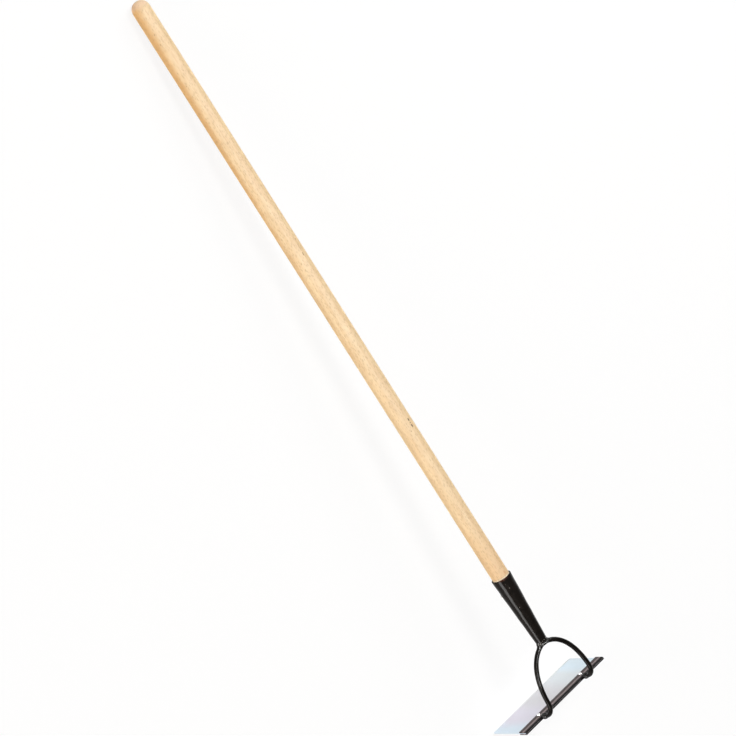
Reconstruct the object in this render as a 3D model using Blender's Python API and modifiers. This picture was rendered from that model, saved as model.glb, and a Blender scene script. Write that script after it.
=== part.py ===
"""A garden hoe: a round wooden handle in a tapered steel socket, a bow bent from round rod
that is welded under the socket, and a polished blade riveted into a folded steel holder.

Every piece is first made in the tool's own frame: the handle's axis is Z, with the tip up,
X runs along the blade, and Y points to the side that the blade's edge is on. Its origin is on
the rod's centreline at the top of the bow. The whole tool is then laid on the floor, on the
blade's edge and the handle's tip, with the handle along world Y.
"""

import math

import bmesh
import bpy
from mathutils import Matrix, Vector
from mathutils.geometry import interpolate_bezier

# Clearances
GAP = 0.0003                  # between pieces that touch
MOUTH_CLEARANCE = 0.0006      # round the handle in the socket's mouth

# Handle
HANDLE_DIAMETER = 0.032
HANDLE_LENGTH = 1.219
HANDLE_DEPTH = 0.0623         # how far the handle goes into the socket
TIP_LENGTH = 0.0181           # the rounded end
TIP_BLUNTNESS = 2.33          # 2 is an ellipse, and more is blunter

# Socket
SOCKET_LENGTH = 0.1377
SOCKET_BASE_DIAMETER = 0.0208
SOCKET_WALL = 0.002
SOCKET_SEAT = 0.0036          # lower rim above the rod's centreline

# Nail through the socket's wall
NAIL_DROP = 0.032             # below the mouth
NAIL_ANGLE = math.radians(147.7)
NAIL_LENGTH = 0.025
NAIL_DIAMETER = 0.0034
NAIL_POINT = 0.005
NAIL_HEAD_DIAMETER = 0.0074
NAIL_HEAD_HEIGHT = 0.0016

# Bow
ROD_DIAMETER = 0.0085
BOW_HEIGHT = 0.1105           # from the top of the bow down to the feet, on the centreline
FOOT_SPACING = 0.114
FOOT_BEND_RADIUS = 0.0255     # of the rod's centreline, from the leg to the foot
FOOT_STRAIGHT = 0.0025        # straight end of the foot, up to the back of the holder
LEG_SPLAY = math.radians(3.0)
CROWN_FULLNESS = 0.185        # handle of the crown's curve, as a share of half the spacing
LEG_FULLNESS = 0.90           # handle of the leg's curve, as a share of the height

# Blade holder
HOLDER_LENGTH = 0.214
HOLDER_WIDTH = 0.0211         # from the back of the fold to the flange's edge
SHEET_THICKNESS = 0.0019
BLADE_ANGLE = math.radians(88.0)   # between the blade and the handle

# Blade
BLADE_LENGTH = 0.214
BLADE_THICKNESS = 0.0012
BLADE_REACH = 0.075           # out of the holder
BLADE_CORNER_RADIUS = 0.005
GRIND_LENGTH = 0.006
EDGE_THICKNESS = 0.0004

# Rivets
RIVET_SPACING = 0.116
RIVET_INSET = 0.0055          # from the flange's edge
RIVET_DIAMETER = 0.0046
RIVET_HEAD_DIAMETER = 0.0066
RIVET_HEAD_HEIGHT = 0.0014

# Weld beads
SOCKET_BEAD_RADIUS = 0.0035
SOCKET_BEAD_PROUD = 0.0014    # beyond the socket's lower rim
SOCKET_BEAD_DROP = 0.0018     # middle of the bead below the rim
SOCKET_BEAD_REACH = 75.0      # degrees each way round the rim
FOOT_BEAD_SIDE = 0.0022       # bead beside the rod
FOOT_BEAD_LENGTH = 0.007      # bead each way along the foot
FOOT_BEAD_TOP = 0.0014        # bead above and below the rod

# Fineness of the round shapes
TURNED_STEPS = 48
ROD_RESOLUTION = 6
BOW_CURVE_POINTS = 17
FOOT_BEND_STEPS = 6
TIP_STEPS = 10
NAIL_STEPS = 24
RIVET_STEPS = 24
HEAD_STEPS = 5                # from the top of a nail's or rivet's head to its rim
FOLD_STEPS = 12
INNER_FOLD_STEPS = 8
CORNER_STEPS = 5
BEAD_STEPS = 18
FOOT_BEAD_SEGMENTS = 24
FOOT_BEAD_RINGS = 14
MERGE_DISTANCE = 0.00001      # points this close on a turned shape's axis become one
CAP_WELD_DISTANCE = 0.000002  # the same for the ends of a rod or a plate

# What follows from the sizes above
HANDLE_RADIUS = HANDLE_DIAMETER / 2
ROD_RADIUS = ROD_DIAMETER / 2
SOCKET_BASE_RADIUS = SOCKET_BASE_DIAMETER / 2
SOCKET_MOUTH_RADIUS = HANDLE_RADIUS + MOUTH_CLEARANCE + SOCKET_WALL
SOCKET_SLOPE = (SOCKET_MOUTH_RADIUS - SOCKET_BASE_RADIUS) / SOCKET_LENGTH
MOUTH_Z = SOCKET_SEAT + SOCKET_LENGTH
HANDLE_END_Z = MOUTH_Z - HANDLE_DEPTH
TIP_Z = HANDLE_END_Z + HANDLE_LENGTH
FOOT_REACH = FOOT_BEND_RADIUS + FOOT_STRAIGHT
HOLDER_THICKNESS = 2 * SHEET_THICKNESS + BLADE_THICKNESS + 2 * GAP
FOLD_RADIUS = HOLDER_THICKNESS / 2
BLADE_DIRECTION = Vector((0, math.sin(BLADE_ANGLE), math.cos(BLADE_ANGLE)))
BLADE_NORMAL = Vector((0, -math.cos(BLADE_ANGLE), math.sin(BLADE_ANGLE)))
HOLDER_BACK = Vector((0, FOOT_REACH, -BOW_HEIGHT))
BLADE_END = HOLDER_WIDTH + BLADE_REACH
RIVET_PLACE = HOLDER_WIDTH - RIVET_INSET


def clear_scene():
    for obj in list(bpy.data.objects):
        bpy.data.objects.remove(obj, do_unlink=True)


def new_collection(name):
    collection = bpy.data.collections.new(name)
    bpy.context.scene.collection.children.link(collection)
    return collection


def add_object(name, data, collection):
    obj = bpy.data.objects.new(name, data)
    collection.objects.link(obj)
    return obj


def as_cutter(obj):
    obj.hide_render = True
    obj.display_type = "WIRE"
    return obj


def material(name, colour, roughness, metallic=0.0):
    mat = bpy.data.materials.new(name)
    mat.use_nodes = True
    shader = mat.node_tree.nodes["Principled BSDF"]
    shader.inputs["Base Color"].default_value = (*colour, 1.0)
    shader.inputs["Roughness"].default_value = roughness
    shader.inputs["Metallic"].default_value = metallic
    return mat


def smooth(obj, angle=35.0):
    obj.data.shade_smooth()
    obj.data.set_sharp_from_angle(angle=math.radians(angle))


def turned(name, profile, collection, steps=TURNED_STEPS):
    """A body turned round Z from (radius, height) points that run down its outer side."""
    mesh = bpy.data.meshes.new(name)
    edges = [(i, i + 1) for i in range(len(profile) - 1)]
    mesh.from_pydata([(radius, 0, height) for radius, height in profile], edges, [])
    obj = add_object(name, mesh, collection)
    screw = obj.modifiers.new("turn", "SCREW")
    screw.axis = "Z"
    screw.steps = steps
    screw.render_steps = steps
    screw.use_merge_vertices = True
    screw.merge_threshold = MERGE_DISTANCE
    screw.use_smooth_shade = True
    return obj


def as_mesh(curve_obj, name, collection):
    """The mesh of a curve object, with its caps welded on, in place of the curve."""
    graph = bpy.context.evaluated_depsgraph_get()
    mesh = bpy.data.meshes.new_from_object(curve_obj.evaluated_get(graph))
    mesh.name = name
    work = bmesh.new()
    work.from_mesh(mesh)
    bmesh.ops.remove_doubles(work, verts=work.verts, dist=CAP_WELD_DISTANCE)
    bmesh.ops.recalc_face_normals(work, faces=work.faces)
    work.to_mesh(mesh)
    work.free()
    matrix = curve_obj.matrix_world.copy()
    bpy.data.objects.remove(curve_obj, do_unlink=True)
    obj = add_object(name, mesh, collection)
    obj.matrix_world = matrix
    return obj


def tube(name, points, radius, collection):
    """A round rod along a path of points, with flat ends."""
    data = bpy.data.curves.new(name + "_path", "CURVE")
    data.dimensions = "3D"
    spline = data.splines.new("POLY")
    spline.points.add(len(points) - 1)
    for target, point in zip(spline.points, points):
        target.co = (*point, 1.0)
    data.bevel_depth = radius
    data.bevel_resolution = ROD_RESOLUTION
    data.use_fill_caps = True
    obj = as_mesh(add_object(name + "_path", data, collection), name, collection)
    smooth(obj)
    return obj


def plate(name, outline, half_depth, collection):
    """A flat outline, extruded both ways along the local Z."""
    data = bpy.data.curves.new(name + "_outline", "CURVE")
    data.dimensions = "2D"
    data.fill_mode = "BOTH"
    data.extrude = half_depth
    spline = data.splines.new("POLY")
    spline.points.add(len(outline) - 1)
    for target, (across, up) in zip(spline.points, outline):
        target.co = (across, up, 0, 1.0)
    spline.use_cyclic_u = True
    return as_mesh(add_object(name + "_outline", data, collection), name, collection)


def cut(obj, cutter):
    boolean = obj.modifiers.new("cut", "BOOLEAN")
    boolean.operation = "DIFFERENCE"
    boolean.solver = "EXACT"
    boolean.object = cutter


def arc(centre, radius, start, end, steps):
    """Points on an arc in a plane, from one angle to another, in degrees."""
    points = []
    for step in range(steps + 1):
        angle = math.radians(start + (end - start) * step / steps)
        points.append((centre[0] + radius * math.cos(angle), centre[1] + radius * math.sin(angle)))
    return points


def blade_frame():
    """Local X, Y and Z lie along the blade's reach, its normal and its length."""
    turn = Matrix((BLADE_DIRECTION, BLADE_NORMAL, Vector((1, 0, 0)))).transposed().to_4x4()
    return Matrix.Translation(HOLDER_BACK) @ turn


def upright_on_blade(along, across):
    """Local Z is the blade's normal, for a rivet or a hole through it."""
    place = HOLDER_BACK + BLADE_DIRECTION * along + Vector((across, 0, 0))
    turn = Matrix((Vector((1, 0, 0)), -BLADE_DIRECTION, BLADE_NORMAL)).transposed().to_4x4()
    return Matrix.Translation(place) @ turn


def socket_radius(height):
    """Outer radius of the socket at a height in the tool's frame."""
    return SOCKET_BASE_RADIUS + SOCKET_SLOPE * (height - SOCKET_SEAT)


def tip_profile():
    """The handle's rounded end as (radius, height) points, from the top down."""
    points = []
    for step in range(TIP_STEPS + 1):
        angle = math.pi / 2 * step / TIP_STEPS
        across = math.sin(angle) ** (2 / TIP_BLUNTNESS)
        up = math.cos(angle) ** (2 / TIP_BLUNTNESS) if step < TIP_STEPS else 0
        points.append((HANDLE_RADIUS * across, TIP_Z - TIP_LENGTH * (1 - up)))
    return points


def bow_path(end_reach):
    """The rod's centreline, from the tip of the left foot round to the tip of the right."""
    half = []
    corner = Vector((FOOT_SPACING / 2, 0, -BOW_HEIGHT))
    leg = Vector((math.sin(LEG_SPLAY), 0, -math.cos(LEG_SPLAY)))
    outward = Vector((0, 1, 0))
    bend_start = corner - leg * FOOT_BEND_RADIUS
    half += interpolate_bezier(
        Vector((0, 0, 0)),
        Vector((CROWN_FULLNESS * FOOT_SPACING / 2, 0, 0)),
        bend_start - leg * (LEG_FULLNESS * BOW_HEIGHT - FOOT_BEND_RADIUS),
        bend_start,
        BOW_CURVE_POINTS,
    )
    centre = bend_start + outward * FOOT_BEND_RADIUS
    for step in range(1, FOOT_BEND_STEPS + 1):
        angle = math.pi / 2 * step / FOOT_BEND_STEPS
        half.append(centre + FOOT_BEND_RADIUS * (leg * math.sin(angle) - outward * math.cos(angle)))
    half.append(corner + outward * end_reach)
    mirrored = [Vector((-point.x, point.y, point.z)) for point in reversed(half[1:])]
    return mirrored + half


def make_handle(parts, cutters):
    """A straight round handle: rounded tip, and a nose tapered to fit the socket."""
    nose_radius = socket_radius(HANDLE_END_Z) - SOCKET_WALL - GAP
    nose_start = HANDLE_END_Z + (HANDLE_RADIUS - nose_radius) / SOCKET_SLOPE
    profile = tip_profile()
    profile += [(HANDLE_RADIUS, nose_start), (nose_radius, HANDLE_END_Z), (0, HANDLE_END_Z)]
    handle = turned("handle", profile, parts)
    handle.data.materials.append(material("ash_wood", (0.86, 0.66, 0.42), 0.55))
    cut(handle, nail_room("nail_hole", cutters))
    return handle


def make_socket(parts, bow_cutter, cutters):
    """A tapered tube, coped over the rod at its lower end."""
    profile = [
        (SOCKET_MOUTH_RADIUS - SOCKET_WALL, MOUTH_Z),
        (SOCKET_MOUTH_RADIUS, MOUTH_Z),
        (SOCKET_BASE_RADIUS, SOCKET_SEAT),
        (SOCKET_BASE_RADIUS - SOCKET_WALL, SOCKET_SEAT),
        (SOCKET_MOUTH_RADIUS - SOCKET_WALL, MOUTH_Z),
    ]
    socket = turned("socket", profile, parts)
    socket.data.materials.append(material("black_paint", (0.012, 0.011, 0.010), 0.3))
    cut(socket, bow_cutter)
    cut(socket, nail_room("nail_way", cutters))
    return socket


def make_socket_cutter(cutters):
    """The outside of the socket with the gap round it, solid, for the beads to be cut by."""
    profile = [
        (0, MOUTH_Z),
        (SOCKET_MOUTH_RADIUS + GAP, MOUTH_Z),
        (SOCKET_BASE_RADIUS + GAP, SOCKET_SEAT - GAP),
        (0, SOCKET_SEAT - GAP),
    ]
    return as_cutter(turned("socket_room", profile, cutters))


def domed_head(radius, seat, height):
    """A round head as (radius, height) points, from the middle of its top out to its rim."""
    points = []
    for step in range(HEAD_STEPS + 1):
        angle = math.pi / 2 * step / HEAD_STEPS
        points.append((radius * math.sin(angle), seat + height * math.cos(angle)))
    return points


def nail_matrix():
    """Local Z runs out of the socket's wall, square to it, with its origin on the surface."""
    slope = math.atan(SOCKET_SLOPE)
    radial = Vector((math.cos(NAIL_ANGLE), math.sin(NAIL_ANGLE), 0))
    outward = radial * math.cos(slope) - Vector((0, 0, math.sin(slope)))
    side = Vector((-math.sin(NAIL_ANGLE), math.cos(NAIL_ANGLE), 0))
    height = MOUTH_Z - NAIL_DROP
    place = radial * socket_radius(height) + Vector((0, 0, height))
    turn = Matrix((side, outward.cross(side), outward)).transposed().to_4x4()
    return Matrix.Translation(place) @ turn


def nail_room(name, cutters):
    """The room that the nail's shank and point take, with the gap all round."""
    steepness = NAIL_POINT / (NAIL_DIAMETER / 2)
    radius = NAIL_DIAMETER / 2 + GAP
    end = -NAIL_LENGTH - GAP * math.hypot(1, steepness)
    profile = [
        (0, NAIL_HEAD_HEIGHT),
        (radius, NAIL_HEAD_HEIGHT),
        (radius, end + radius * steepness),
        (0, end),
    ]
    room = as_cutter(turned(name, profile, cutters, NAIL_STEPS))
    room.matrix_world = nail_matrix()
    return room


def make_nail(parts):
    """The nail that holds the handle: a low round head on a pointed shank."""
    head = NAIL_HEAD_DIAMETER / 2
    shank = NAIL_DIAMETER / 2
    profile = domed_head(head, GAP, NAIL_HEAD_HEIGHT)
    profile += [(shank, GAP), (shank, NAIL_POINT - NAIL_LENGTH), (0, -NAIL_LENGTH)]
    nail = turned("handle_nail", profile, parts, NAIL_STEPS)
    nail.matrix_world = nail_matrix()
    nail.data.materials.append(material("nail_steel", (0.42, 0.41, 0.40), 0.4, 1.0))
    return nail


def make_bow(parts):
    bow = tube("bow", bow_path(FOOT_REACH - GAP), ROD_RADIUS, parts)
    bow.data.materials.append(material("bow_paint", (0.010, 0.010, 0.009), 0.3))
    return bow


def make_bow_cutter(cutters):
    """The rod with the gap round it, a little longer at the feet."""
    return as_cutter(tube("bow_room", bow_path(FOOT_REACH + GAP), ROD_RADIUS + GAP, cutters))


def channel_outline():
    """The folded sheet seen from its end: two flanges and the round fold between them."""
    inner = FOLD_RADIUS - SHEET_THICKNESS
    centre = (FOLD_RADIUS, 0)
    outline = [(HOLDER_WIDTH, FOLD_RADIUS)]
    outline += arc(centre, FOLD_RADIUS, 90, 270, FOLD_STEPS)
    outline += [(HOLDER_WIDTH, -FOLD_RADIUS), (HOLDER_WIDTH, -inner)]
    outline += arc(centre, inner, 270, 90, INNER_FOLD_STEPS)
    outline += [(HOLDER_WIDTH, inner)]
    return outline


def holder_room_outline():
    """The outside of the folded sheet, with the gap round it."""
    reach = FOLD_RADIUS + GAP
    outline = [(HOLDER_WIDTH + GAP, reach)]
    outline += arc((FOLD_RADIUS, 0), reach, 90, 270, FOLD_STEPS)
    outline += [(HOLDER_WIDTH + GAP, -reach)]
    return outline


def rivet_holes(name, cutters):
    """One straight hole for each rivet, longer than the holder is thick."""
    holes = []
    for side, across in (("left", -RIVET_SPACING / 2), ("right", RIVET_SPACING / 2)):
        radius = RIVET_DIAMETER / 2 + GAP
        reach = HOLDER_THICKNESS
        profile = [(0, reach), (radius, reach), (radius, -reach), (0, -reach)]
        hole = as_cutter(turned(f"{name}_{side}", profile, cutters, RIVET_STEPS))
        hole.matrix_world = upright_on_blade(RIVET_PLACE, across)
        holes.append(hole)
    return holes


def make_holder(parts, holes):
    holder = plate("blade_holder", channel_outline(), HOLDER_LENGTH / 2, parts)
    holder.matrix_world = blade_frame()
    smooth(holder)
    holder.data.materials.append(material("holder_paint", (0.022, 0.020, 0.020), 0.35))
    for hole in holes:
        cut(holder, hole)
    return holder


def make_holder_cutter(cutters):
    room = plate("holder_room", holder_room_outline(), HOLDER_LENGTH / 2 + GAP, cutters)
    room.matrix_world = blade_frame()
    return as_cutter(room)


def blade_outline():
    """The blade seen on its face, as (across, along) points."""
    half = BLADE_LENGTH / 2
    radius = BLADE_CORNER_RADIUS
    start = FOLD_RADIUS + GAP
    outline = [(-half, start), (half, start)]
    outline += arc((half - radius, BLADE_END - radius), radius, 0, 90, CORNER_STEPS)
    outline += arc((radius - half, BLADE_END - radius), radius, 90, 180, CORNER_STEPS)
    return outline


def make_blade(parts, holes, cutters):
    """A flat plate with round corners, ground on its outer face down to a thin edge."""
    blade = plate("blade", blade_outline(), BLADE_THICKNESS / 2, parts)
    turn = Matrix((Vector((1, 0, 0)), BLADE_DIRECTION, -BLADE_NORMAL)).transposed().to_4x4()
    blade.matrix_world = Matrix.Translation(HOLDER_BACK) @ turn
    blade.data.materials.append(material("polished_steel", (0.80, 0.81, 0.83), 0.12, 1.0))
    for hole in holes:
        cut(blade, hole)
    cut(blade, make_grinder(cutters))
    return blade


def make_grinder(cutters):
    """The wedge of steel that grinding takes off the blade's outer face."""
    half = BLADE_THICKNESS / 2
    drop = BLADE_THICKNESS - EDGE_THICKNESS
    beyond = GRIND_LENGTH / 2
    slope = drop / GRIND_LENGTH
    outline = [
        (BLADE_END - GRIND_LENGTH, -half),
        (BLADE_END + beyond, -half + drop + slope * beyond),
        (BLADE_END + beyond, -half - drop),
        (BLADE_END - GRIND_LENGTH, -half - drop),
    ]
    grinder = plate("grinder", outline, BLADE_LENGTH, cutters)
    grinder.matrix_world = blade_frame()
    return as_cutter(grinder)


def make_rivets(parts):
    """Round-headed rivets through both flanges and the blade."""
    steel = material("rivet_steel", (0.78, 0.78, 0.78), 0.2, 1.0)
    seat = FOLD_RADIUS + GAP
    head = RIVET_HEAD_DIAMETER / 2
    shank = RIVET_DIAMETER / 2
    upper = domed_head(head, seat, RIVET_HEAD_HEIGHT)
    lower = [(radius, -height) for radius, height in reversed(upper)]
    profile = upper + [(shank, seat), (shank, -seat)] + lower
    rivets = []
    for side, across in (("left", -RIVET_SPACING / 2), ("right", RIVET_SPACING / 2)):
        rivet = turned(f"rivet_{side}", profile, parts, RIVET_STEPS)
        rivet.matrix_world = upright_on_blade(RIVET_PLACE, across)
        rivet.data.materials.append(steel)
        rivets.append(rivet)
    return rivets


def make_socket_welds(parts, bow_cutter, socket_cutter):
    """A bead in front and one behind, between the rod and the socket's lower rim."""
    paint = material("socket_weld_paint", (0.015, 0.014, 0.013), 0.3)
    ring = SOCKET_BASE_RADIUS + SOCKET_BEAD_PROUD - SOCKET_BEAD_RADIUS
    height = SOCKET_SEAT - SOCKET_BEAD_DROP
    welds = []
    for side, middle in (("front", -90), ("back", 90)):
        ends = (middle - SOCKET_BEAD_REACH, middle + SOCKET_BEAD_REACH)
        points = [Vector((x, y, height)) for x, y in arc((0, 0), ring, *ends, BEAD_STEPS)]
        weld = tube(f"socket_weld_{side}", points, SOCKET_BEAD_RADIUS, parts)
        weld.data.materials.append(paint)
        cut(weld, bow_cutter)
        cut(weld, socket_cutter)
        welds.append(weld)
    return welds


def make_foot_welds(parts, bow_cutter, holder_cutter):
    """A bead round the tip of each foot, where it meets the back of the holder."""
    paint = material("foot_weld_paint", (0.030, 0.028, 0.027), 0.3)
    size = (ROD_RADIUS + FOOT_BEAD_SIDE, FOOT_BEAD_LENGTH, ROD_RADIUS + FOOT_BEAD_TOP)
    welds = []
    for side, across in (("left", -FOOT_SPACING / 2), ("right", FOOT_SPACING / 2)):
        mesh = bpy.data.meshes.new(f"foot_weld_{side}")
        work = bmesh.new()
        bmesh.ops.create_uvsphere(work, u_segments=FOOT_BEAD_SEGMENTS, v_segments=FOOT_BEAD_RINGS,
                                  radius=1.0, matrix=Matrix.Diagonal((*size, 1.0)))
        work.to_mesh(mesh)
        work.free()
        weld = add_object(f"foot_weld_{side}", mesh, parts)
        weld.location = HOLDER_BACK + Vector((across, 0, 0))
        smooth(weld)
        weld.data.materials.append(paint)
        cut(weld, bow_cutter)
        cut(weld, holder_cutter)
        welds.append(weld)
    return welds


def lying_tilt():
    """How far the handle leans when the tool lies on the blade's edge and the handle's tip.

    Seen along the blade, the floor is the line that touches a corner of the blade's edge and
    the outline of the tip, and has every other point of both above it.
    """
    slopes = []
    for up in (BLADE_THICKNESS / 2, BLADE_THICKNESS / 2 - EDGE_THICKNESS):
        corner = HOLDER_BACK + BLADE_DIRECTION * BLADE_END + BLADE_NORMAL * up
        slopes.append(min((corner.y - radius) / (z - corner.z) for radius, z in tip_profile()))
    return math.atan(max(slopes))


def lay_on_floor(root, parts):
    """Turns the tool on to its side and puts the middle of its box, at the floor, at the origin."""
    root.rotation_euler = (-math.pi / 2 - lying_tilt(), 0, 0)
    bpy.context.view_layer.update()
    graph = bpy.context.evaluated_depsgraph_get()
    corners = []
    for obj in parts.objects:
        shape = obj.evaluated_get(graph)
        corners += [shape.matrix_world @ vertex.co for vertex in shape.data.vertices]
    low = Vector([min(corner[axis] for corner in corners) for axis in range(3)])
    high = Vector([max(corner[axis] for corner in corners) for axis in range(3)])
    root.location = (-(low.x + high.x) / 2, -(low.y + high.y) / 2, -low.z)


def main():
    clear_scene()
    parts = new_collection("garden_hoe")
    cutters = new_collection("hoe_cutters")
    frame = new_collection("hoe_frame")
    bow_cutter = make_bow_cutter(cutters)
    holder_cutter = make_holder_cutter(cutters)
    holes = rivet_holes("rivet_hole", cutters)
    make_handle(parts, cutters)
    make_socket(parts, bow_cutter, cutters)
    make_nail(parts)
    make_bow(parts)
    make_socket_welds(parts, bow_cutter, make_socket_cutter(cutters))
    make_foot_welds(parts, bow_cutter, holder_cutter)
    make_holder(parts, holes)
    make_blade(parts, holes, cutters)
    make_rivets(parts)
    root = add_object("hoe_on_floor", None, frame)
    for obj in list(parts.objects) + list(cutters.objects):
        obj.parent = root
    lay_on_floor(root, parts)


main()
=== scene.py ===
"""The looks of a garden hoe: varnished wood, black paint over welds, and bright steel.

Every piece is made in the tool's own frame: the handle's axis is Z with the tip up, X runs along
the blade, and Y points to the side that the blade's edge is on. The origin is on the rod's
centreline at the top of the bow. ToolFrame then lays each piece on the floor. Sizes are metres.
"""
import logging
import math
from collections.abc import Callable, Sequence
from dataclasses import dataclass
from enum import Enum
from itertools import pairwise

import bmesh
import bpy
from mathutils import Matrix, Vector
from mathutils.geometry import interpolate_bezier


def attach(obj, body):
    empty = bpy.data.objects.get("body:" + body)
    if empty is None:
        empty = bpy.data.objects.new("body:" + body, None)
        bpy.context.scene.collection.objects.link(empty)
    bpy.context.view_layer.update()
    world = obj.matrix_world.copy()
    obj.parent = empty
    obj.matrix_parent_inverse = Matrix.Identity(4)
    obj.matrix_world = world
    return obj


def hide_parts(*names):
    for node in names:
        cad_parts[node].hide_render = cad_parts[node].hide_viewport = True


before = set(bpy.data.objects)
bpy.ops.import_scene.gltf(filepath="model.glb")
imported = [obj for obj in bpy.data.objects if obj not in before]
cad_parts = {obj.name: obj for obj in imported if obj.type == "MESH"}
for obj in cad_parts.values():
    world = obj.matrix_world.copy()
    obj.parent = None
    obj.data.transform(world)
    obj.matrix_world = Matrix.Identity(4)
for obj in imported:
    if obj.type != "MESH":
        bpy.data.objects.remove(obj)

LOG = logging.getLogger("garden_hoe")
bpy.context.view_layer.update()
BODY = "root"
TINY = 1e-7
EASED_ANGLE = 35.0
WELD_ANGLE = 50.0
RIPPLE_MEAN = 0.6
COLOUR_SOCKETS = ("Color", "Pale", "Dark")

Colour = tuple[float, float, float]
Point = tuple[float, float, float]
Ring = list[Vector]
Skin = bmesh.types.BMesh
Output = bpy.types.NodeSocket


@dataclass(frozen=True)
class ToolFrame:
    """Where the tool lies on the floor, with the handle's tip and the blade's edge down."""

    origin: Point = (0.0, -0.588088, 0.115379)
    turn: float = -math.pi / 2 - math.radians(4.4501)

    def matrix(self) -> Matrix:
        """Returns the matrix from the tool's own frame to the floor's."""
        return Matrix.Translation(self.origin) @ Matrix.Rotation(self.turn, 4, "X")

    def unlay(self, sheet: "NodeSheet", on_floor: Output) -> Output:
        """Returns shader coordinates on the floor turned back into the tool's own frame."""
        values = {"Vector": on_floor, "Location": self.origin, "Rotation": (self.turn, 0.0, 0.0)}
        return sheet.add("ShaderNodeMapping", values, vector_type="TEXTURE").outputs["Vector"]


def circle(centre: Vector, across: Vector, up: Vector, steps: int,
           reach: Callable[[float], float]) -> Ring:
    """Makes a ring of points round a centre.

    Args:
        centre: The middle of the ring.
        across: Unit vector towards the first point.
        up: Unit vector a quarter turn on.
        steps: How many points.
        reach: Distance from the middle at an angle.

    Returns:
        The points.
    """
    ring = []
    for step in range(steps):
        angle = 2 * math.pi * step / steps
        ring.append(centre + (across * math.cos(angle) + up * math.sin(angle)) * reach(angle))
    return ring


def arc(centre: tuple[float, float], radius: float, start: float, end: float, steps: int) -> list:
    """Makes points on an arc in a plane.

    Args:
        centre: The middle of the arc.
        radius: Its radius.
        start: First angle, in degrees.
        end: Last angle, in degrees.
        steps: How many stretches the arc has.

    Returns:
        The points as (across, up) pairs.
    """
    points = []
    for step in range(steps + 1):
        angle = math.radians(start + (end - start) * step / steps)
        points.append((centre[0] + radius * math.cos(angle), centre[1] + radius * math.sin(angle)))
    return points


def loft(rings: Sequence[Ring], endless: bool = False) -> Skin:
    """Joins rings of the same number of points into one closed skin.

    Args:
        rings: The rings, in order.
        endless: True joins the last ring to the first, and False puts a face over each end.

    Returns:
        The skin, with its faces pointing out.
    """
    work = bmesh.new()
    rows = [[work.verts.new(point) for point in ring] for ring in rings]
    for first, second in pairwise(rows + rows[:1] if endless else rows):
        for index, corner in enumerate(first):
            after = (index + 1) % len(first)
            work.faces.new((corner, first[after], second[after], second[index]))
    for row in () if endless else (rows[0], rows[-1]):
        if (row[0].co - row[len(row) // 2].co).length > TINY:
            work.faces.new(row)
    bmesh.ops.remove_doubles(work, verts=work.verts, dist=TINY)
    bmesh.ops.recalc_face_normals(work, faces=work.faces)
    return work


def level(_angle: float, _height: float) -> float:
    """Returns no change of radius, for a true round shape."""
    return 0.0


def turned(profile: Sequence[tuple[float, float]], steps: int, endless: bool = False,
           swell: Callable[[float, float], float] = level) -> Skin:
    """Turns a profile round Z.

    Args:
        profile: Points as (radius, height) pairs.
        steps: Sides of the turned shape.
        endless: True for a profile that closes on itself, as a tube's does.
        swell: Change of radius at an angle and a height.

    Returns:
        The turned skin.
    """
    rings = []
    for radius, height in profile:
        def reach(angle: float) -> float:
            """Returns the swollen radius at an angle."""
            return radius + swell(angle, height) * (radius > TINY)

        rings.append(circle(Vector((0, 0, height)), Vector((1, 0, 0)), Vector((0, 1, 0)), steps, reach))
    return loft(rings, endless)


def swept(path: Sequence[Vector], sides: int, radius_at: Callable[[float, float], float]) -> Skin:
    """Sweeps a round section along a path without twisting it.

    Args:
        path: Points of the centreline.
        sides: Sides of the section.
        radius_at: Radius at a distance along the path and an angle round it.

    Returns:
        The swept skin with flat ends.
    """
    rings = []
    across = Vector((0, 0, 1))
    distance = 0.0
    for index, point in enumerate(path):
        before = path[max(index - 1, 0)]
        along = (path[min(index + 1, len(path) - 1)] - before).normalized()
        across = (across - along * across.dot(along)).normalized()
        distance += (point - before).length

        def reach(angle: float) -> float:
            """Returns the section's radius at an angle."""
            return radius_at(distance, angle)

        rings.append(circle(point, across, along.cross(across), sides, reach))
    return loft(rings)


def framed(place: Vector | Point, across: Vector, along: Vector, up: Vector) -> Matrix:
    """Returns the frame at a place whose X, Y and Z run along three unit vectors."""
    return Matrix.Translation(place) @ Matrix((across, along, up)).transposed().to_4x4()


def meshed(name: str, skin: Skin) -> bpy.types.Mesh:
    """Turns a skin into a mesh and frees it.

    Args:
        name: The mesh's name.
        skin: The skin.

    Returns:
        The mesh.
    """
    mesh = bpy.data.meshes.new(name)
    skin.to_mesh(mesh)
    skin.free()
    return mesh


def placed(name: str, data: bpy.types.ID,
           collection: bpy.types.Collection | None = None) -> bpy.types.Object:
    """Makes an object.

    Args:
        name: The object's name.
        data: Its mesh, lamp or camera.
        collection: Where it goes, or None for the scene's own collection.

    Returns:
        The object.
    """
    obj = bpy.data.objects.new(name, data)
    (collection or bpy.context.scene.collection).objects.link(obj)
    return obj


class Boolean(Enum):
    """The ways to combine two skins."""

    CUT_OUT = "DIFFERENCE"
    FUSE = "UNION"


def combine(work: Skin, other: Skin, way: Boolean) -> Skin:
    """Runs a Boolean on two closed skins and frees both.

    Args:
        work: The first skin.
        other: The second skin.
        way: What becomes of them.

    Returns:
        The result.
    """
    side = "boolean_side"
    objects = [placed(side, meshed(side, skin)) for skin in (work, other)]
    boolean = objects[0].modifiers.new("boolean", "BOOLEAN")
    boolean.operation = way.value
    boolean.solver = "EXACT"
    boolean.object = objects[1]
    result = bmesh.new()
    result.from_object(objects[0], bpy.context.evaluated_depsgraph_get())
    for obj in objects:
        mesh = obj.data
        bpy.data.objects.remove(obj, do_unlink=True)
        bpy.data.meshes.remove(mesh)
    bmesh.ops.remove_doubles(result, verts=result.verts, dist=TINY)
    return result


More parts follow.
